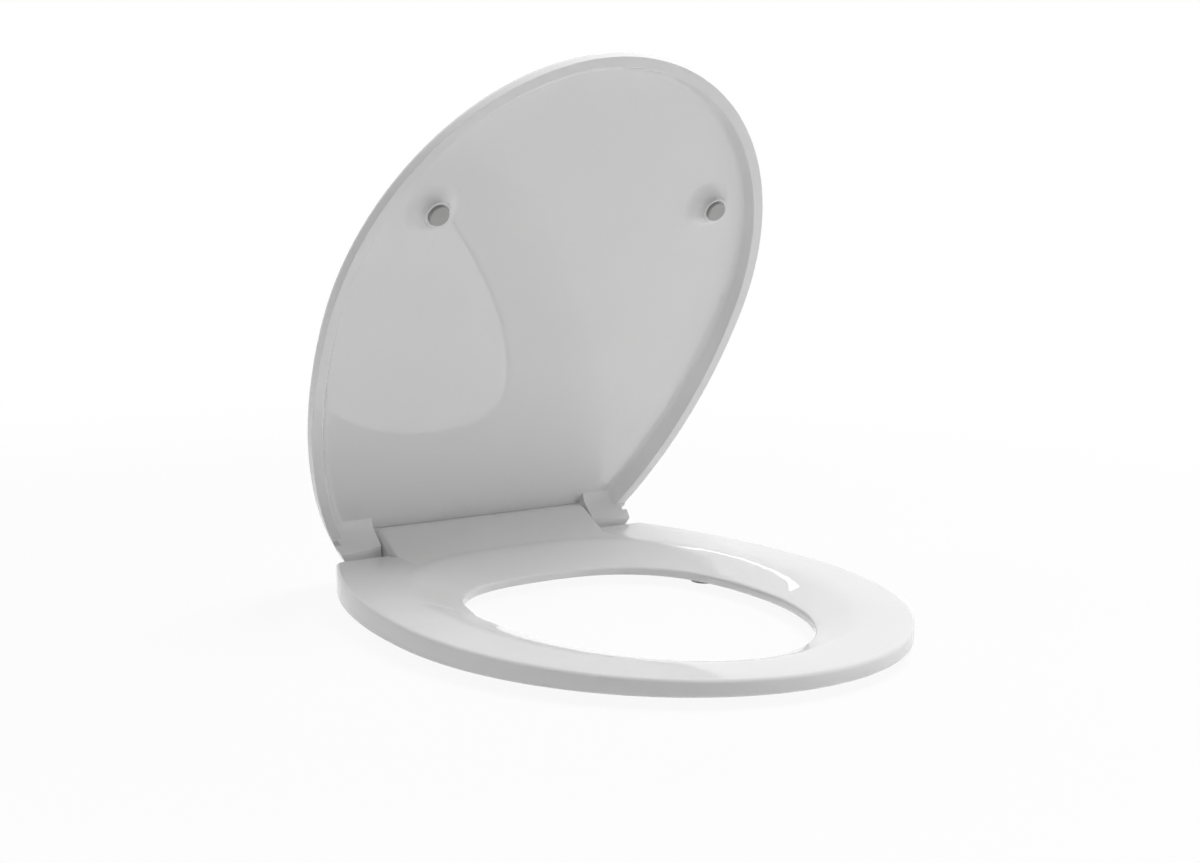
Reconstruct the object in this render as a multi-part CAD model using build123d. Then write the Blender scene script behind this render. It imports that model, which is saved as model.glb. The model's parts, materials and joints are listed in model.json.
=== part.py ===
from build123d import *
from math import acos, asin, atan, atan2, cos, degrees, hypot, radians, sin, sqrt, tan
import os

# A soft-close toilet seat: an oval ring with its hinge block, a lid that swings on the same
# pins, and the hinge hardware that stands on the rim of the pan. Millimetres. Every piece is
# drawn about the hinge axis, with X along it, the front of the seat towards -Y and Z up, and
# is then moved so that the origin lies on the pan, midway between the two fixing holes.

# Outline of the seat, measured from the hinge axis
seat_width = 370.0
seat_reach = 415.0          # to the front edge
widest_reach = 202.5        # to the widest line
rear_sweep = 282.0          # half length of the ellipse that narrows the outline towards the hinge
seat_rear_gap = 20.5        # to the straight rear edge
front_thickness = 11.2
rear_thickness = 20.6       # the top rises evenly from the front edge to the rear edge
rear_corner_radius = 7.0
seat_top_radius = 2.6
seat_bottom_radius = 2.0

# Opening in the seat, set by the widths of the ring, and the hollow that leads down to it
ring_side = 76.5
ring_front = 59.0
ring_rear = 64.0
opening_shift = 3.5         # the opening's widest line behind the seat's
opening_squareness = 2.6    # power of the rear curve, where 2 is an ellipse
curve_steps = 12            # parts of the rear curve
lip_height = 6.8            # the opening's level lip above the seat's underside
lip_radius = 2.4
lip_steps = 3               # sections round the lip's rounding
lip_lower_radius = 1.2
flat_width = 33.0           # flat top of the ring round the hollow
dish_gap = 5.5              # between the foot of the hinge block and the hollow
dish_bend = 0.4             # share of the hollow's width in which the flat top bends into the slope

# Underside of the ring
channel_margin = 13.0
channel_depth = 5.0
boss_radius = 14.0

# Hinge line
axis_rise = 3.0             # hinge axis above the seat's top
hinge_setback = 4.0         # hinge axis behind the fixing holes
fixing_pitch = 155.0
fixing_hole_radius = 3.3
lid_open = 62.3             # how far the lid stands open at rest, in degrees

# Hinge block moulded on the seat
block_width = 195.0
barrel_radius = 13.0
ramp_foot = 33.5            # where the sloping front face meets the seat's top
ramp_blend = 6.0
block_end_radius = 4.5
block_web_reach = 38.0
block_wall = 4.0
rib_thickness = 3.0
middle_cells = 4

# Lid
lid_overhang = 1.0
rim_gap = 3.0               # rim of the closed lid above the seat's top
rim_width = 8.0
rim_slope = 9.0             # run of the slope between the rim and the panel
rim_edge_radius = 1.2
lid_top = 16.0              # highest point of the closed lid above the hinge axis
lid_crown_radius = 20000.0
lid_crown_reach = 60.0      # hinge axis to the highest point of the crown
lid_edge_radius = 8.5
lid_skin = 4.6
panel_corner_radius = 5.0
recess_rear = 7.0           # hinge axis to the rear end of the hollow under the lid

# Lugs of the lid, which carry it on the pins and hang down behind the seat's rear edge
lug_gap = 1.5               # between the block's end and a lug
lug_slope_reach = 19.0      # hinge axis to where a lug rises from the panel
lug_reach = 13.5            # hinge axis to the edge of its front face
lug_edge_level = 6.0        # that edge above the hinge axis
lug_front_draft = 16.0      # lean of the front face, in degrees
lug_edge_round = 1.0
lug_floor_reach = 8.8       # hinge axis to the front of its chamfered floor, at the inner end
lug_floor_drop = 10.5       # and how far that lies below the axis
lug_floor_slope = 30.0      # the floor falls to the rear, in degrees
lug_floor_draft = 5.0       # and to the outer end
lug_end_wall = 4.0
lug_slot_depth = 4.0        # slot round the outer end, between rim and lug
lug_slot_drop = 6.0
block_clearance = 0.6
cover_angle = 118.0         # the lid's rear edge follows the barrel up to this angle

# Buffers
buffer_height = 7.0
seat_buffer_radius = 11.0
buffer_stem_radius = 3.0
buffer_stem_length = 5.0
buffer_edge_radius = 2.0
seat_buffer_turns = (42.0, 120.0)   # round the ring from its front, in degrees
lid_buffer_radius = 7.5
lid_buffer_inset = 63.2     # from the seat's side
lid_buffer_setback = 122.4  # from its front edge
lid_buffer_gap = 0.4        # between the closed lid's buffer and the seat
lid_buffer_stem_radius = 2.5
lid_buffer_edge_radius = 0.8
mound_base_radius = 21.0
mound_end_radius = 10.2
mound_recess_depth = 1.0
mound_recess_gap = 0.7

# Hinge hardware
pin_radius = 2.5
pin_chamfer = 0.5
bush_wall = 0.75
seat_bush_wall = 1.5
flange_wall = 3.5
flange_thickness = 1.0
running_gap = 0.06
seating_gap = 0.02
block_end_wall = 5.0
damper_radius = 7.5
damper_length = 29.4
damper_wall = 2.2
damper_edge_radius = 1.1
damper_neck = 7.4
damper_cap_thickness = 2.0
damper_cap_plug = 3.8
rotor_length = 16.0
collar_wall = 2.0
pillar_width = 14.0
pillar_depth = 11.0
pillar_foot_radius = 8.0
pillar_foot_height = 5.0
fixing_hole_depth = 16.5
base_radius = 20.0
base_thickness = 2.5
base_edge_radius = 1.0
gasket_inset = 1.0
gasket_thickness = 1.5
hardware_clearance = 0.5
seat_swing = 95.0           # how far the seat lifts, in degrees
slot_margin_angle = 6.0
slot_sides = 4              # flats round the outside of the slot

# Levels and places that follow from the sizes above
seat_slope = (rear_thickness - front_thickness) / (seat_reach - seat_rear_gap)
seat_lean = degrees(atan(seat_slope))
opening_width = seat_width - 2 * ring_side
opening_front = seat_reach - ring_front
opening_widest = widest_reach - opening_shift
opening_rear = seat_rear_gap + ring_rear
seat_bottom = -axis_rise - seat_slope * seat_reach - front_thickness
pan_level = seat_bottom - buffer_height
lip_level = seat_bottom + lip_height
rim_level = rim_gap - axis_rise
panel_level = lid_top - lid_skin
block_half = block_width / 2
lug_inner = block_half + lug_gap
cavity_end = block_half - block_end_wall
damper_end = cavity_end - hardware_clearance
damper_start = damper_end - damper_length
collar_radius = damper_radius + collar_wall
cavity_radius = collar_radius + hardware_clearance
cavity_start = damper_start - damper_cap_thickness - hardware_clearance
chamber_radius = damper_radius - damper_wall
bore_radius = pin_radius + running_gap
fixing_x = fixing_pitch / 2
lid_buffer_place = (seat_width / 2 - lid_buffer_inset, seat_reach - lid_buffer_setback)
through = 1000.0            # longer than any piece, for cuts that run right through


def top_level(reach):
    # Height of the seat's sloping top, at a distance in front of the hinge axis
    return -axis_rise - seat_slope * reach


def outline_half(reach):
    # Half the lid's width near the hinge, at a distance in front of the axis
    share = (widest_reach - reach) / (rear_sweep + lid_overhang)
    return (seat_width / 2 + lid_overhang) * sqrt(1 - share ** 2)


def ring_place(turn):
    # A place on the middle line of the ring, turned from its front round its widest line
    half_width = (seat_width + opening_width) / 4
    front = (seat_reach + opening_front) / 2 - opening_widest
    rear = opening_widest - (seat_rear_gap + opening_rear) / 2
    along = cos(radians(turn))
    return half_width * sin(radians(turn)), opening_widest + (front if along > 0 else rear) * along


seat_buffer_places = [ring_place(turn) for turn in seat_buffer_turns]
lug_bush_end = outline_half(-pin_radius - bush_wall) - lug_end_wall


def egg_face(inset, rear, level, overhang=0.0):
    # The outline of seat and lid: half an ellipse in front, two slower arcs behind, a straight rear edge
    half_width = seat_width / 2 + overhang - inset
    front_axis = seat_reach + overhang - inset - widest_reach
    rear_axis = rear_sweep + overhang - inset
    turn = degrees(asin((widest_reach - rear) / rear_axis))
    centre = (0, -widest_reach)
    with BuildSketch(Plane.XY.offset(level)) as sketch:
        with BuildLine():
            EllipticalCenterArc(centre, half_width, front_axis, 180, arc_size=180)
            right = EllipticalCenterArc(centre, half_width, rear_axis, 0, arc_size=turn)
            left = EllipticalCenterArc(centre, half_width, rear_axis, 180 - turn, arc_size=turn)
            Line(right @ 1, left @ 0)
        make_face()
    return sketch.sketch


def oval_face(half_width, widest, front, rear, level=0.0):
    # The outline of opening and hollow: half an ellipse in front and a squarer curve behind
    power = 2 / opening_squareness
    turns = [radians(180) * i / curve_steps for i in range(curve_steps + 1)]
    points = [(half_width * abs(cos(a)) ** power * (1 if cos(a) > 0 else -1),
               (widest - rear) * sin(a) ** power - widest) for a in turns[1:-1]]
    with BuildSketch(Plane.XY.offset(level)) as sketch:
        with BuildLine():
            arc = EllipticalCenterArc((0, -widest), half_width, front - widest, 180, arc_size=180)
            Spline(arc @ 1, *points, arc @ 0, tangents=((0, 1), (0, -1)))
        make_face()
    return sketch.sketch


def opening_face(grow, level):
    # The opening's outline, grown outwards
    half_width = opening_width / 2 + grow
    return oval_face(half_width, opening_widest, opening_front + grow, opening_rear - grow, level)


def tangent_point(place, radius, side):
    # The point where a line from a place outside a circle about the hinge axis touches it
    reach = hypot(*place)
    turn = atan2(place[1], place[0]) + side * acos(radius / reach)
    return (radius * cos(turn), radius * sin(turn))


def block_profile(grow):
    # Section across the hinge block: a barrel round the axis, a ramp down to the seat and a web below
    radius = barrel_radius + grow
    foot = (-ramp_foot - grow, top_level(ramp_foot) + grow)
    heel = (-block_web_reach, seat_bottom + seat_bottom_radius)
    back = -block_web_reach - ramp_blend
    upper = tangent_point(foot, radius, -1)
    lower = tangent_point(heel, radius, 1)
    with BuildSketch(Plane.YZ) as sketch:
        Polygon((back, top_level(-back) + grow), foot, upper, (0, 0), lower, heel, (back, heel[1]),
                align=None)
        corner = sketch.vertices().sort_by_distance(Vertex(0, *foot))[0]
        fillet(corner, ramp_blend)
        Circle(radius)
    return sketch.sketch


def rod(radius, start, end):
    # A round bar along the hinge axis
    return Pos(start, 0, 0) * extrude(Plane.YZ * Circle(radius), end - start)


def both_sides(shape):
    return shape, mirror(shape, about=Plane.YZ)


def above_top():
    # All the space over the seat's sloping top
    slab = Box(through, 2 * through, through, align=(Align.CENTER, Align.CENTER, Align.MIN))
    return Pos(0, 0, -axis_rise) * Rot(seat_lean, 0, 0) * slab


def ring_blank():
    # The oval plate of the seat, rounded at its rear corners and round both outer edges
    plate = extrude(egg_face(0, seat_rear_gap, seat_bottom), -seat_bottom)
    corners = plate.edges().filter_by(Axis.Z).group_by(Axis.Y)[-1]
    plate = fillet(corners, rear_corner_radius) - above_top()
    plate = fillet(plate.faces().sort_by(Axis.Z)[-1].edges(), seat_top_radius)
    return fillet(plate.faces().sort_by(Axis.Z)[0].edges(), seat_bottom_radius)


def lip_lean():
    # Slope of the hollow where it reaches the lip, at the widest line
    return atan2(top_level(opening_widest) - lip_level, ring_side - flat_width)


def dish_section(share):
    # One contour of the hollow: it narrows from the seat's sloping top down to the level lip
    start = lip_radius * (1 - sin(lip_lean()))
    outer = (seat_width / 2 - flat_width, widest_reach, seat_reach - flat_width, ramp_foot + dish_gap)
    inner = (opening_width / 2 + start, opening_widest, opening_front + start, opening_rear - start)
    sizes = [a + (b - a) * share for a, b in zip(outer, inner)]
    bend = share ** 2 / (2 * dish_bend) if share < dish_bend else share - dish_bend / 2
    fall = bend / (1 - dish_bend / 2)
    place = Pos(0, 0, lip_level * fall - axis_rise * (1 - fall))
    return place * Rot(seat_lean * (1 - fall), 0, 0) * oval_face(*sizes)


def opening_cutter():
    # The hollow, the rounded lip and the straight wall of the opening
    dish = loft([dish_section(share) for share in (0, dish_bend / 2, dish_bend, (1 + dish_bend) / 2, 1)])
    start = lip_lean()
    turns = [start + (radians(90) - start) * i / lip_steps for i in range(lip_steps + 1)]
    lip = loft([opening_face(lip_radius * (1 - sin(a)), lip_level - lip_radius * (cos(start) - cos(a)))
                for a in turns])
    depth = lip_level - lip_radius * cos(start) - seat_bottom
    return dish + lip + extrude(opening_face(0, seat_bottom), depth)


def underside_channel():
    # The shallow channel under the ring, interrupted by a boss for each buffer
    outer = extrude(egg_face(channel_margin, seat_rear_gap + channel_margin, seat_bottom), channel_depth)
    inner = extrude(opening_face(channel_margin, seat_bottom), channel_depth)
    channel = outer - inner
    for x, reach in seat_buffer_places:
        for side in (-1, 1):
            channel -= Pos(side * x, -reach, seat_bottom) * extrude(Circle(boss_radius), channel_depth)
    return channel


def pillar_slot():
    # The room in the block that a pillar passes through while the seat lifts
    half_depth = pillar_depth / 2
    front = -hinge_setback - half_depth - hardware_clearance
    rear = -90 + degrees(atan2(half_depth - hinge_setback, barrel_radius)) + seat_swing + slot_margin_angle
    reach = 2 * -seat_bottom
    rim = [-90 + (rear + 90) * i / slot_sides for i in range(slot_sides + 1)]
    points = [(front, 0), (front, -reach)]
    points += [(reach * cos(radians(a)), reach * sin(radians(a))) for a in rim]
    half_width = pillar_width / 2 + hardware_clearance
    sector = extrude(Plane.YZ * Polygon(*points, (0, 0), align=None), half_width, both=True)
    return Pos(fixing_x, 0, 0) * sector


def block_cells():
    # Hollow cells below the middle of the block, with ribs between them
    span = 2 * (cavity_start - block_wall)
    pitch = span / middle_cells
    radius = barrel_radius - block_wall
    cells = []
    for i in range(middle_cells):
        start = -span / 2 + i * pitch + rib_thickness / 2
        length = pitch - rib_thickness
        drop = Pos(start + length / 2, 0, -barrel_radius) * Box(length, 2 * radius, 2 * barrel_radius)
        cells.append(rod(radius, start, start + length) + drop)
    return cells


def seat_ring():
    blank = ring_blank()
    block = extrude(block_profile(0), block_half, both=True)
    ends = block.faces().filter_by(Axis.X).edges()
    block = fillet(ends.filter_by(lambda edge: edge.center().Z > top_level(ramp_foot)), block_end_radius)
    body = blank + block - opening_cutter()
    underside = body.faces().filter_by(Axis.Z).sort_by(Axis.Z)[0]
    body = fillet(underside.inner_wires()[0].edges(), lip_lower_radius)
    body -= underside_channel()
    for cell in block_cells():
        body -= cell
    cavity = rod(cavity_radius, cavity_start, cavity_end)
    bush_hole = rod(pin_radius + seat_bush_wall + seating_gap, cavity_end, lug_inner)
    for cut in both_sides(cavity + pillar_slot() + bush_hole):
        body -= cut
    for x, reach in seat_buffer_places:
        for side in (-1, 1):
            socket = Circle(buffer_stem_radius + seating_gap)
            body -= Pos(side * x, -reach, seat_bottom) * extrude(socket, buffer_stem_length + seating_gap)
    return body


def crown(depth):
    # The ball whose top is the lid's gently domed face, or the panel a skin's thickness below it
    radius = lid_crown_radius - depth
    return Pos(0, -lid_crown_reach, lid_top - lid_crown_radius) * Rot(90, 0, 0) * Sphere(radius)


def lug_blank():
    # A lug: a barrel round the axis with a leaning front face and a chamfered floor
    front_run = (lug_edge_level + lid_top) * tan(radians(lug_front_draft))
    with BuildSketch(Plane.YZ) as sketch:
        Circle(lid_top)
        Rectangle(through, through, align=(Align.MAX, Align.MIN))
        Polygon((-lug_slope_reach, through), (-lug_slope_reach, panel_level), (-lug_reach, lug_edge_level),
                (front_run - lug_reach, -lid_top), (through, -lid_top), (through, through),
                align=None, mode=Mode.INTERSECT)
        edge = sketch.vertices().sort_by_distance(Vertex(0, -lug_reach, lug_edge_level))[0]
        fillet(edge, lug_edge_round)
    barrel = Pos(lug_inner, 0, 0) * extrude(sketch.sketch, through)
    below = Box(2 * through, 2 * through, through, align=(Align.CENTER, Align.CENTER, Align.MAX))
    place = Pos(lug_inner, -lug_floor_reach, -lug_floor_drop)
    return barrel - place * Rot(-lug_floor_slope, 0, 0) * Rot(0, lug_floor_draft, 0) * below


def lug_slot():
    # The slot round the outer ends of the lugs, just below the rim
    ring = egg_face(-lid_top, -2 * lid_top, -lug_slot_drop, lid_overhang)
    core = egg_face(lug_slot_depth, -2 * lid_top, -lug_slot_drop, lid_overhang)
    return extrude(ring - core, lug_slot_drop + rim_level - rim_edge_radius)


def lid_recess():
    # The hollow under the lid: it slopes in from the rim, and its floor follows the crown
    outer = egg_face(rim_width, recess_rear, rim_level, lid_overhang)
    inner = egg_face(rim_width + rim_slope, recess_rear, lid_top, lid_overhang)
    hollow = loft([outer, inner], ruled=True) & crown(lid_skin)
    return fillet(hollow.faces().sort_by(Axis.Z)[-1].edges(), panel_corner_radius)


def lid_mound():
    # A bell-shaped mound on the panel that carries a buffer, with a shallow recess in its end
    x, reach = lid_buffer_place
    top = panel_level
    with BuildSketch(Plane.XZ) as sketch:
        with BuildLine():
            Line((0, rim_level), (mound_end_radius - rim_edge_radius, rim_level))
            Spline((mound_end_radius - rim_edge_radius, rim_level),
                   (mound_end_radius, rim_level + rim_edge_radius),
                   (mound_end_radius + rim_edge_radius, rim_level + (top - rim_level) / 2),
                   (mound_base_radius, top), tangents=((1, 0), (1, 0)))
            Line((mound_base_radius, top), (0, top))
            Line((0, top), (0, rim_level))
        make_face()
    bell = revolve(sketch.sketch, Axis.Z)
    recess = Pos(0, 0, rim_level) * extrude(Circle(lid_buffer_radius + mound_recess_gap), mound_recess_depth)
    stem = Pos(0, 0, rim_level) * extrude(
        Circle(lid_buffer_stem_radius + seating_gap), mound_recess_depth + buffer_stem_length)
    return [Pos(side * x, -reach, 0) * (bell - recess - stem) for side in (-1, 1)]


def lid():
    blank = extrude(egg_face(0, -lid_top, -lid_top, lid_overhang), through) & crown(0)
    blank = fillet(blank.faces().sort_by(Axis.Z)[-1].edges(), lid_edge_radius)
    front = Box(through, through, through, align=(Align.CENTER, Align.MAX, Align.MIN))
    body = blank & Pos(0, 0, rim_level) * front
    body -= lid_recess()
    rim = body.edges().filter_by(GeomType.ELLIPSE)
    rim = rim.filter_by(lambda edge: abs(edge.center().Z - rim_level) < seating_gap)
    body = fillet(rim, rim_edge_radius)
    for lug in both_sides((blank & lug_blank()) - lug_slot()):
        body += lug
    body -= extrude(block_profile(block_clearance), lug_inner, both=True)
    cover_end = (barrel_radius + block_clearance) * cos(radians(cover_angle))
    behind = Box(2 * lug_inner, through, through, align=(Align.CENTER, Align.MIN, Align.CENTER))
    body -= Pos(0, cover_end, 0) * behind
    for mound in lid_mound():
        body += mound & crown(lid_skin / 2)
    for hole in both_sides(rod(pin_radius + bush_wall + seating_gap, lug_inner, lug_bush_end + seating_gap)):
        body -= hole
    return body


def seat_buffer(x, reach):
    pad = extrude(Circle(seat_buffer_radius), buffer_height)
    pad = fillet(pad.faces().sort_by(Axis.Z)[0].edges(), buffer_edge_radius)
    stem = Pos(0, 0, buffer_height) * extrude(Circle(buffer_stem_radius), buffer_stem_length)
    return Pos(x, -reach, pan_level) * (pad + stem)


def lid_buffer(x, reach):
    bottom = lid_buffer_gap - axis_rise
    height = rim_level + mound_recess_depth - bottom
    disc = extrude(Circle(lid_buffer_radius), height)
    disc = fillet(disc.faces().sort_by(Axis.Z)[0].edges(), lid_buffer_edge_radius)
    stem = Pos(0, 0, height) * extrude(Circle(lid_buffer_stem_radius), buffer_stem_length - seating_gap)
    return Pos(x, -reach, bottom) * (disc + stem)


def hinge_pin():
    # The damper's rotor and its shaft, which carries block and lug
    rotor_start = damper_start + damper_cap_plug + seating_gap
    shaft = rod(pin_radius, rotor_start, lug_bush_end)
    shaft = chamfer(shaft.edges().sort_by(Axis.X)[-1], pin_chamfer)
    return shaft + rod(chamber_radius - running_gap, rotor_start, rotor_start + rotor_length)


def damper_body():
    shell = rod(damper_radius, damper_start, damper_end)
    shell = fillet(shell.edges().sort_by(Axis.X)[-1], damper_edge_radius)
    chamber = rod(chamber_radius, damper_start, damper_end - damper_neck)
    return shell - chamber - rod(bore_radius, damper_start, damper_end)


def damper_cap():
    flange = rod(damper_radius, damper_start - damper_cap_thickness, damper_start)
    return flange + rod(chamber_radius - seating_gap, damper_start, damper_start + damper_cap_plug)


def seat_bush():
    sleeve = rod(pin_radius + seat_bush_wall, cavity_end, block_half)
    flange = rod(pin_radius + flange_wall, block_half, block_half + flange_thickness)
    return sleeve + flange - rod(bore_radius, cavity_end, lug_inner)


def lug_bush():
    return rod(pin_radius + bush_wall, lug_inner, lug_bush_end) - rod(bore_radius, lug_inner, lug_bush_end)


def hinge_pillar():
    # A post on the fixing, with a collar that holds the damper
    base = pan_level + gasket_thickness + base_thickness
    place = Pos(fixing_x, -hinge_setback, base)
    foot = place * extrude(Circle(pillar_foot_radius), pillar_foot_height)
    post = place * extrude(Rectangle(pillar_width, pillar_depth), -damper_radius - base)
    inner, outer = fixing_x - pillar_width / 2, fixing_x + pillar_width / 2
    body = foot + post + rod(collar_radius, inner, outer)
    hole = Pos(fixing_x, -hinge_setback, pan_level) * extrude(Circle(fixing_hole_radius), fixing_hole_depth)
    return body - rod(damper_radius + seating_gap, inner, outer) - hole


def base_disc():
    place = Pos(fixing_x, -hinge_setback, pan_level + gasket_thickness)
    disc = extrude(Circle(base_radius), base_thickness)
    disc = fillet(disc.faces().sort_by(Axis.Z)[-1].edges(), base_edge_radius)
    return place * (disc - extrude(Circle(fixing_hole_radius), base_thickness))


def base_gasket():
    place = Pos(fixing_x, -hinge_setback, pan_level)
    ring = Circle(base_radius - gasket_inset) - Circle(fixing_hole_radius)
    return place * extrude(ring, gasket_thickness)


def write(name, shape):
    # Move a piece from the hinge axis to the part's own origin and save it
    export_step(Pos(0, hinge_setback, -pan_level) * shape, f"parts/{name}.step")


os.makedirs("parts", exist_ok=True)
swing = Rot(-lid_open, 0, 0)

write("seat_ring", seat_ring())
write("lid", swing * lid())
for row, (x, reach) in zip(("front", "rear"), seat_buffer_places):
    write(f"seat_buffer_{row}_left", seat_buffer(-x, reach))
    write(f"seat_buffer_{row}_right", seat_buffer(x, reach))
for name, side in (("left", -1), ("right", 1)):
    write(f"lid_buffer_{name}", swing * lid_buffer(side * lid_buffer_place[0], lid_buffer_place[1]))
hardware = {"hinge_pin": hinge_pin(), "damper_body": damper_body(), "damper_cap": damper_cap(),
            "seat_bush": seat_bush(), "hinge_pillar": hinge_pillar(), "base_disc": base_disc(),
            "base_gasket": base_gasket()}
for piece, shape in hardware.items():
    right, left = both_sides(shape)
    write(f"{piece}_left", left)
    write(f"{piece}_right", right)
right, left = both_sides(lug_bush())
write("lug_bush_left", swing * left)
write("lug_bush_right", swing * right)
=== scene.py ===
import json
import math
import bmesh
import bpy
from mathutils import Matrix, Vector
from mathutils.bvhtree import BVHTree

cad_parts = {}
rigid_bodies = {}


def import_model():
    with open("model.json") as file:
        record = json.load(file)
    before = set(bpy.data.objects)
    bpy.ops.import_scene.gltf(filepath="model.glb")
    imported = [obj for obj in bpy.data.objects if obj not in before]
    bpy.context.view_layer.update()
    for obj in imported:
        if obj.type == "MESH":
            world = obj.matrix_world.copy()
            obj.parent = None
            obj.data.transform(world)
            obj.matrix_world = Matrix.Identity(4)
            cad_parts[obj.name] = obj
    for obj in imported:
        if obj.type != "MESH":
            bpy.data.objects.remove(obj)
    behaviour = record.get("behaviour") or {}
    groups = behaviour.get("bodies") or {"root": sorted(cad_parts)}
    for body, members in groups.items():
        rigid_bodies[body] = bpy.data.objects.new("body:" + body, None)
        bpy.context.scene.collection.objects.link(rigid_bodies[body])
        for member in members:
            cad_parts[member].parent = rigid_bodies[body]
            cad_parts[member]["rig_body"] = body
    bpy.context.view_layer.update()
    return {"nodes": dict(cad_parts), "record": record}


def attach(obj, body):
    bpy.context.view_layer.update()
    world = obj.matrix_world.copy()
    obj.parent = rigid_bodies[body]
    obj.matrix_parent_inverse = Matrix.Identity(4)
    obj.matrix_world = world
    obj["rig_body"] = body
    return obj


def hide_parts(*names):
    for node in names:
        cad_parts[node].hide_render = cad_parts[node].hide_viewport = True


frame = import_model()
nodes = frame["nodes"]
print("frame loaded:", len(nodes), "nodes")


def hexColour(text):  # sRGB hex to the linear values that Blender works in
    parts = [int(text[i:i + 2], 16) / 255 for i in (1, 3, 5)]
    return [c / 12.92 if c <= 0.04045 else ((c + 0.055) / 1.055) ** 2.4 for c in parts] + [1.0]


def addNode(tree, kind, settings=None, inputs=None):  # one node, its settings, its values and links
    node = tree.nodes.new(kind)
    for name, value in (settings or {}).items():
        setattr(node, name, value)
    for socket, value in (inputs or {}).items():
        if isinstance(value, bpy.types.NodeSocket):
            tree.links.new(value, node.inputs[socket])
        else:
            node.inputs[socket].default_value = value
    return node


def newMaterial(name):  # an empty material, its tree and the Object coordinates
    material = bpy.data.materials.new(name)
    material.use_nodes = True
    tree = material.node_tree
    tree.nodes.clear()
    return material, tree, addNode(tree, "ShaderNodeTexCoord").outputs["Object"]


def noise(tree, place, sizeMm, detail, distortion=0.0):  # clouds of about that size in millimetres
    return addNode(tree, "ShaderNodeTexNoise", inputs={
        "Vector": place, "Scale": 1000 / sizeMm, "Detail": detail, "Distortion": distortion}).outputs["Fac"]


def tint(tree, factor, shades):
    return addNode(tree, "ShaderNodeMix", {"data_type": "RGBA"}, {
        "Factor": factor, "A": hexColour(shades[0]), "B": hexColour(shades[1])}).outputs["Result"]


def spread(tree, factor, middle, shares):  # a value that varies between two shares of its middle
    return addNode(tree, "ShaderNodeMapRange", inputs={
        "Value": factor, "To Min": middle * shares[0], "To Max": middle * shares[1]}).outputs["Result"]


def relief(tree, height, strength, depthMm, **normal):
    return addNode(tree, "ShaderNodeBump", inputs={
        "Strength": strength, "Distance": depthMm / 1000, "Height": height, **normal}).outputs["Normal"]


def shade(tree, inputs):
    shader = addNode(tree, "ShaderNodeBsdfPrincipled", inputs=inputs)
    addNode(tree, "ShaderNodeOutputMaterial", inputs={"Surface": shader.outputs["BSDF"]})


def mirrorRay(tree):  # the ray's kind, and whether it comes from a mirror image or through glass
    ray = addNode(tree, "ShaderNodeLightPath")
    mirrored = addNode(tree, "ShaderNodeMath", {"operation": "MAXIMUM"}, {
        0: ray.outputs["Is Glossy Ray"], 1: ray.outputs["Is Transmission Ray"]})
    return ray, mirrored.outputs[0]


# Duroplast: urea resin pressed in a polished mould. A hard, deep white gloss like glazed
# ceramic, with the slight waviness of the mould's polish in its reflections.
# The ior is over the resin's 1.6, for its strong mirror image.
duroplast = {"shades": ("#EFEFEF", "#EAEAEA"), "roughness": 0.02, "glossSpread": (0.8, 1.25), "ior": 1.95,
             "waveMm": 45, "waveHeight": 0.008, "waveDepthMm": 1.0, "cloudMm": 60, "hazeMm": 2.2,
             "edgeMm": 0.5, "edgeSamples": 6}


def makeDuroplast():
    material, tree, place = newMaterial("duroplastPolishedWhite")
    cloud = noise(tree, place, duroplast["cloudMm"], 3.0)
    haze = noise(tree, place, duroplast["hazeMm"], 2.0)
    wave = noise(tree, place, duroplast["waveMm"], 1.0)
    edge = addNode(tree, "ShaderNodeBevel", {"samples": duroplast["edgeSamples"]},
                   {"Radius": duroplast["edgeMm"] / 1000})
    shade(tree, {
        "Base Color": tint(tree, cloud, duroplast["shades"]), "IOR": duroplast["ior"],
        "Roughness": spread(tree, haze, duroplast["roughness"], duroplast["glossSpread"]),
        "Normal": relief(tree, wave, duroplast["waveHeight"], duroplast["waveDepthMm"],
                         Normal=edge.outputs["Normal"])})
    return material


# Moulded rubber: soft grey thermoplastic with a fine matt grain from the spark-eroded mould, mid grey
# under the lid and pale under the seat. The grain is drawn coarser than the real 0.1 mm, to show.
rubber = {"roughness": 0.5, "ior": 1.5, "grainMm": 0.5, "grainHeight": 0.25, "grainDepthMm": 0.2,
          "midGrey": ("#BEBEBD", "#B2B2B1"), "paleGrey": ("#DCDCDA", "#D2D2D0")}


def makeRubber(name, shades):
    material, tree, place = newMaterial(name)
    grain = noise(tree, place, rubber["grainMm"], 2.0)
    shade(tree, {
        "Base Color": tint(tree, grain, shades), "Roughness": rubber["roughness"], "IOR": rubber["ior"],
        "Normal": relief(tree, grain, rubber["grainHeight"], rubber["grainDepthMm"])})
    return material


# Nylon: injection moulded, off-white and slightly waxy, with faint flow clouds.
nylon = {"shades": ("#E6E5E1", "#DAD9D4"), "roughness": 0.42, "ior": 1.53, "flowMm": 9, "flowBend": 0.6,
         "grainMm": 0.6, "grainHeight": 0.15, "grainDepthMm": 0.2,
         "waxWeight": 0.1, "waxRadius": (0.002, 0.002, 0.0015)}


def makeNylon():
    material, tree, place = newMaterial("nylonMouldedWhite")
    flow = noise(tree, place, nylon["flowMm"], 2.0, nylon["flowBend"])
    grain = noise(tree, place, nylon["grainMm"], 1.0)
    shade(tree, {
        "Base Color": tint(tree, flow, nylon["shades"]), "Roughness": nylon["roughness"], "IOR": nylon["ior"],
        "Subsurface Weight": nylon["waxWeight"], "Subsurface Radius": nylon["waxRadius"],
        "Normal": relief(tree, grain, nylon["grainHeight"], nylon["grainDepthMm"])})
    return material


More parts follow.
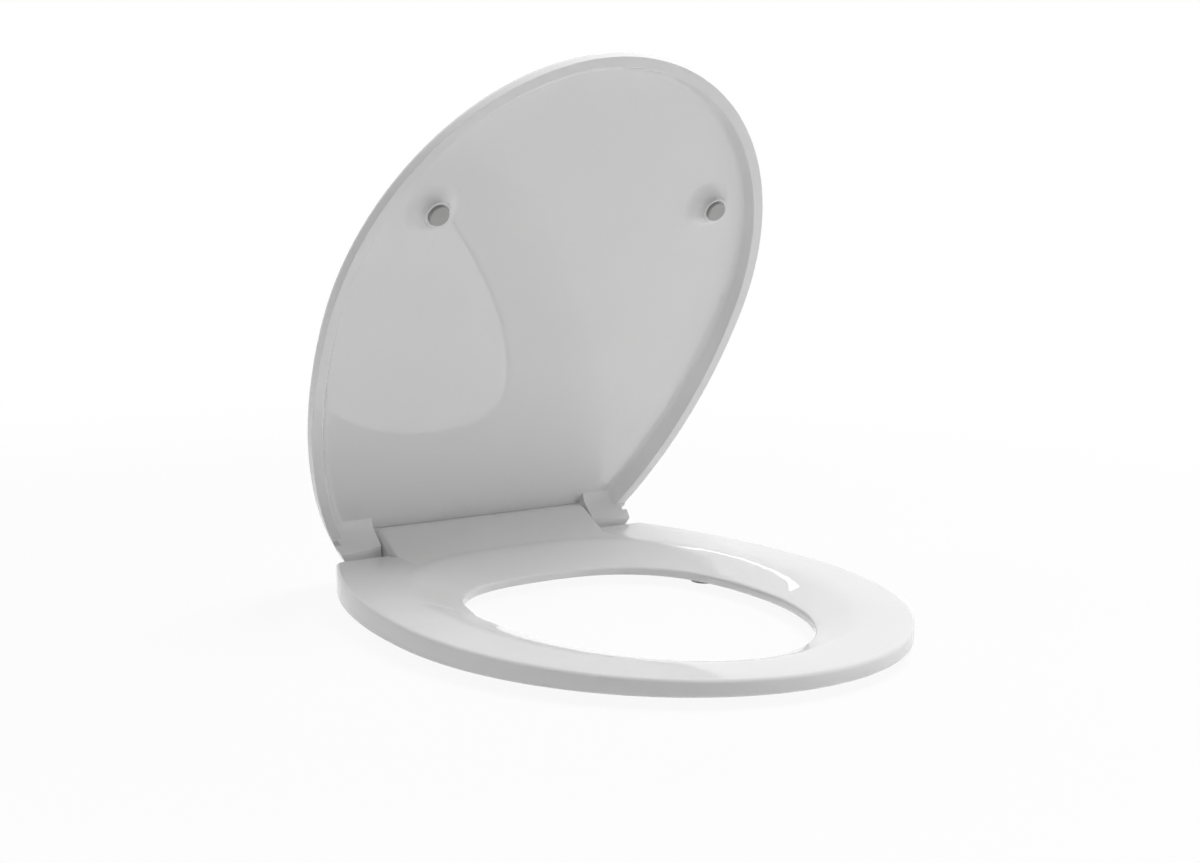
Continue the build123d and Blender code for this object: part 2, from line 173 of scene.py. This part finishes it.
# Stainless steel: turned and brushed to a satin finish, so highlights smear along fine scratches.
# The scratches are drawn wider than the real 0.02 mm, to show.
steel = {"shades": ("#C6C7C8", "#B2B3B4"), "roughness": 0.28, "glossSpread": (0.75, 1.35),
         "scratchMm": 0.35, "stretch": 14.0, "scratchHeight": 0.12, "scratchDepthMm": 0.1}


def makeSteel():
    material, tree, place = newMaterial("steelBrushedStainless")
    drawn = addNode(tree, "ShaderNodeMapping", inputs={
        "Vector": place, "Scale": (1.0 / steel["stretch"], 1.0, 1.0)})
    scratch = noise(tree, drawn.outputs["Vector"], steel["scratchMm"], 3.0)
    shade(tree, {
        "Base Color": tint(tree, scratch, steel["shades"]), "Metallic": 1.0,
        "Roughness": spread(tree, scratch, steel["roughness"], steel["glossSpread"]),
        "Normal": relief(tree, scratch, steel["scratchHeight"], steel["scratchDepthMm"])})
    return material


# Silicone gasket: soft, milky and half clear, with a satin skin.
silicone = {"shades": ("#DDDEDE", "#CFD1D1"), "roughness": 0.38, "ior": 1.41, "clearness": 0.45,
            "cloudMm": 5, "skinHeight": 0.1, "skinDepthMm": 0.3}


def makeSilicone():
    material, tree, place = newMaterial("siliconeMilkyGasket")
    cloud = noise(tree, place, silicone["cloudMm"], 2.0)
    shade(tree, {
        "Base Color": tint(tree, cloud, silicone["shades"]), "Roughness": silicone["roughness"],
        "IOR": silicone["ior"], "Transmission Weight": silicone["clearness"],
        "Normal": relief(tree, cloud, silicone["skinHeight"], silicone["skinDepthMm"])})
    return material


finishes = {"white_duroplast": makeDuroplast(), "white_nylon": makeNylon(), "steel": makeSteel(),
            "clear_gasket": makeSilicone(), "grey_buffer": makeRubber("rubberMouldedGrey", rubber["midGrey"]),
            "pale_buffer": makeRubber("rubberMouldedPale", rubber["paleGrey"])}
print("materials done:", len(finishes))

# Smooth mouldings: the CAD facets merged and shaded round, with the real edges kept crisp
moulding = {"mergeMm": 0.002, "crispDegrees": 30.0, "flatFaced": ("lidSmooth",)}


def finishPiece(build, name, body, finish):
    crisp = math.radians(moulding["crispDegrees"])
    for face in build.faces:
        face.smooth = True
    for edge in build.edges:
        edge.smooth = len(edge.link_faces) == 2 and edge.calc_face_angle() < crisp
    mesh = bpy.data.meshes.new(name)
    build.to_mesh(mesh)
    build.free()
    mesh.materials.append(finish)
    piece = bpy.data.objects.new(name, mesh)
    bpy.context.scene.collection.objects.link(piece)
    if name in moulding["flatFaced"]:
        even = piece.modifiers.new("evenNormals", "WEIGHTED_NORMAL")
        even.keep_sharp = True
    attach(piece, body)
    return piece


def mergedCopy(nodeName):
    build = bmesh.new()
    build.from_mesh(nodes[nodeName].data)
    bmesh.ops.remove_doubles(build, verts=build.verts, dist=moulding["mergeMm"] / 1000)
    bmesh.ops.dissolve_degenerate(build, edges=build.edges, dist=moulding["mergeMm"] / 1000)
    return build


# Bells under the lid: the wall of each buffer's mound flares out into the panel in one sweep.
# Sizes are in millimetres on the closed lid, from the hinge line.
bell = {"place": (121.8, -292.6), "wallRadius": 9.9, "endRadius": 10.0, "endLevel": 1.0, "baseRadius": 21.5,
        "steps": 12, "sides": 72, "rootRadius": 9.2, "rootDepth": 0.8, "panelProbe": 16.0,
        "wallReach": 1.2, "joinMm": 0.001}
hinge = {"axis": (0.0, 4.0, 31.0886), "openDegrees": 62.3}
openLid = (Matrix.Scale(0.001, 4) @ Matrix.Translation(hinge["axis"])
           @ Matrix.Rotation(math.radians(-hinge["openDegrees"]), 4, "X"))
closeLid = openLid.inverted()


def pullInMounds(build):  # the mound's plain wall goes in behind the bell
    for vert in build.verts:
        spot = closeLid @ vert.co
        centre = Vector((math.copysign(bell["place"][0], spot.x), bell["place"][1], spot.z))
        out = spot - centre
        beside = bell["wallRadius"] < out.length < bell["wallReach"] * bell["endRadius"]
        if beside and spot.z > bell["endLevel"] / 2:
            vert.co = openLid @ (centre + out.normalized() * bell["wallRadius"])


def makeBell(name, side, lidTree):
    centre = Vector((side * bell["place"][0], bell["place"][1], 0.0))

    def panelLevel(x, y):  # height of the lid's panel beside the mound
        start = openLid @ (centre + Vector((x, y, -bell["panelProbe"])))
        hit = lidTree.ray_cast(start, (openLid.to_3x3() @ Vector((0, 0, 1))).normalized())[0]
        return (closeLid @ hit).z

    probe = bell["panelProbe"]
    levels = [panelLevel(*spot) for spot in ((probe, 0), (-probe, 0), (0, probe), (0, -probe))]
    level = sum(levels) / 4
    tiltX, tiltY = (levels[0] - levels[1]) / (2 * probe), (levels[2] - levels[3]) / (2 * probe)
    build = bmesh.new()
    sweep = [math.pi / 2 * step / bell["steps"] for step in range(bell["steps"] + 1)]
    spots = [(bell["baseRadius"] - (bell["baseRadius"] - bell["endRadius"]) * math.cos(turn),
              bell["endLevel"] + (level - bell["endLevel"]) * math.sin(turn)) for turn in sweep]
    root = level + bell["rootDepth"]  # the bell's back, sunk in the panel
    spots += [(bell["baseRadius"], root), (bell["rootRadius"], root), (bell["rootRadius"], bell["endLevel"])]
    verts = [build.verts.new((radius, 0, height)) for radius, height in spots]
    edges = [build.edges.new(pair) for pair in zip(verts, verts[1:] + verts[:1])]
    bmesh.ops.spin(build, geom=verts + edges, cent=(0, 0, 0), axis=(0, 0, 1), angle=2 * math.pi,
                   steps=bell["sides"], use_merge=True)
    bmesh.ops.remove_doubles(build, verts=build.verts, dist=bell["joinMm"])
    bmesh.ops.recalc_face_normals(build, faces=build.faces)
    for vert in build.verts:  # the foot lies on the panel's slight slope
        radius = math.hypot(vert.co.x, vert.co.y)
        share = (radius - bell["endRadius"]) / (bell["baseRadius"] - bell["endRadius"])
        vert.co.z += max(share, 0.0) * (tiltX * vert.co.x + tiltY * vert.co.y)
    bmesh.ops.transform(build, matrix=openLid @ Matrix.Translation(centre), verts=build.verts)
    finishPiece(build, name, "lid", finishes["white_duroplast"])


for part in frame["record"]["subparts"]:
    nodeName, slotName = part["node"], part["material_slot"]
    build = mergedCopy(nodeName)
    if nodeName == "lid":
        lidTree = BVHTree.FromBMesh(build)
        pullInMounds(build)
    finish = finishes["pale_buffer"] if nodeName.startswith("seat_buffer") else finishes[slotName]
    piece = finishPiece(build, nodeName + "Smooth", nodes[nodeName]["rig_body"], finish)
    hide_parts(nodeName)
makeBell("lidBellLeft", -1, lidTree)
makeBell("lidBellRight", 1, lidTree)

# Studio: a white sweep under soft lamps, the main one above on the right, so that the open lid shades
# the hinge. The narrow upright strip behind on the right streaks the far crest. Near the object the
# floor keeps a faint shadow, and further out it goes over into the white backdrop.
studio = {"floorSize": 14.0, "floorLevel": -0.0003, "floor": "#E9E9E9", "whiteNear": 0.92,
          "shadowReach": (0.35, 1.1), "skyStrength": 0.03, "aim": (0.0, -0.2, 0.05)}
lamps = {"aboveRight": {"spot": (0.7, -0.52, 2.05), "size": (1.1, 1.1), "power": 35.0, "mirrored": False},
         "behindLeft": {"spot": (-1.2, 0.6, 1.8), "size": (1.2, 1.2), "power": 10.0, "mirrored": False},
         "behind": {"spot": (0.3, 2.2, 1.3), "size": (1.2, 1.2), "power": 9.0, "mirrored": False},
         "frontLeft": {"spot": (-1.3, -1.6, 1.0), "size": (1.2, 1.2), "power": 2.0, "mirrored": False},
         "right": {"spot": (2.0, -0.6, 0.8), "size": (1.2, 1.2), "power": 3.0, "mirrored": False},
         "lowRight": {"spot": (1.5, -1.4, 0.4), "size": (1.2, 1.2), "power": 8.0, "mirrored": False},
         "strip": {"spot": (1.4, 1.81, 1.57), "size": (0.05, 0.5), "power": 0.14, "mirrored": True}}

floorMesh = bpy.data.meshes.new("floor")
build = bmesh.new()
bmesh.ops.create_grid(build, x_segments=1, y_segments=1, size=studio["floorSize"] / 2)
bmesh.ops.translate(build, verts=build.verts, vec=(0, 0, studio["floorLevel"]))
build.to_mesh(floorMesh)
build.free()
floor = bpy.data.objects.new("floor", floorMesh)
bpy.context.scene.collection.objects.link(floor)
material, tree, place = newMaterial("paperSweepWhite")
paper = addNode(tree, "ShaderNodeBsdfDiffuse", inputs={"Color": hexColour(studio["floor"])})
glow = addNode(tree, "ShaderNodeEmission", inputs={"Color": (1, 1, 1, 1), "Strength": 1.0})
ray, mirrored = mirrorRay(tree)
reach = addNode(tree, "ShaderNodeVectorMath", {"operation": "LENGTH"}, {0: place})
white = addNode(tree, "ShaderNodeMapRange", {"interpolation_type": "SMOOTHSTEP"}, {
    "Value": reach.outputs["Value"], "To Min": studio["whiteNear"], "To Max": 1.0,
    "From Min": studio["shadowReach"][0], "From Max": studio["shadowReach"][1]})
seen = addNode(tree, "ShaderNodeMath", {"operation": "MULTIPLY"}, {
    0: ray.outputs["Is Camera Ray"], 1: white.outputs["Result"]})
share = addNode(tree, "ShaderNodeMath", {"operation": "MAXIMUM"}, {0: seen.outputs[0], 1: mirrored})
mixed = addNode(tree, "ShaderNodeMixShader", inputs={
    0: share.outputs[0], 1: paper.outputs["BSDF"], 2: glow.outputs["Emission"]})
addNode(tree, "ShaderNodeOutputMaterial", inputs={"Surface": mixed.outputs["Shader"]})
floorMesh.materials.append(material)

world = bpy.data.worlds.new("studioSky")
bpy.context.scene.world = world
world.use_nodes = True
tree = world.node_tree
tree.nodes.clear()
ray, mirrored = mirrorRay(tree)
seen = addNode(tree, "ShaderNodeMath", {"operation": "MAXIMUM"}, {
    0: ray.outputs["Is Camera Ray"], 1: mirrored})
level = addNode(tree, "ShaderNodeMapRange", inputs={
    "Value": seen.outputs[0], "To Min": studio["skyStrength"], "To Max": 1.0})
sky = addNode(tree, "ShaderNodeBackground", inputs={
    "Color": (1, 1, 1, 1), "Strength": level.outputs["Result"]})
addNode(tree, "ShaderNodeOutputWorld", inputs={"Surface": sky.outputs["Background"]})

for name, setting in lamps.items():
    lamp = bpy.data.lights.new(name, "AREA")
    lamp.shape = "RECTANGLE"
    lamp.size, lamp.size_y = setting["size"]
    lamp.energy = setting["power"]
    lampObject = bpy.data.objects.new(name, lamp)
    lampObject.location = setting["spot"]
    lampObject.rotation_mode = "QUATERNION"
    toObject = Vector(studio["aim"]) - Vector(setting["spot"])
    lampObject.rotation_quaternion = toObject.to_track_quat("-Z", "Y")
    lampObject.visible_camera = False
    lampObject.visible_glossy = setting["mirrored"]
    bpy.context.scene.collection.objects.link(lampObject)
print("studio done")

# Camera: fitted to the outline in the photograph, from the hinge line, in millimetres and degrees
view = {"azimuth": -35.79, "elevation": 8.91, "roll": 0.8, "distance": 1520.73, "focalPixels": 1902.97,
        "imageWidth": 1200, "side": 93.24, "rise": 81.55, "hinge": (0.0, 4.0, 31.09),
        "sensorMm": 36.0, "clipMetres": 0.05}
turn, tilt, roll = (math.radians(view[key]) for key in ("azimuth", "elevation", "roll"))
right = Vector((math.cos(turn), math.sin(turn), 0))
back = Vector((math.sin(turn) * math.cos(tilt), -math.cos(turn) * math.cos(tilt), math.sin(tilt)))
up = back.cross(right)
eye = Vector(view["hinge"]) + back * view["distance"] + right * view["side"] + up * view["rise"]
across = right * math.cos(roll) + up * math.sin(roll)
upright = up * math.cos(roll) - right * math.sin(roll)
lens = bpy.data.cameras.new("photoCamera")
lens.sensor_fit = "HORIZONTAL"
lens.sensor_width = view["sensorMm"]
lens.lens = view["focalPixels"] * lens.sensor_width / view["imageWidth"]
lens.clip_start = view["clipMetres"]
camera = bpy.data.objects.new("photoCamera", lens)
camera.matrix_world = Matrix.Translation(eye / 1000) @ Matrix((across, upright, back)).transposed().to_4x4()
bpy.context.scene.collection.objects.link(camera)
bpy.context.scene.camera = camera
bpy.context.scene.view_settings.view_transform = "Standard"
print("camera done")
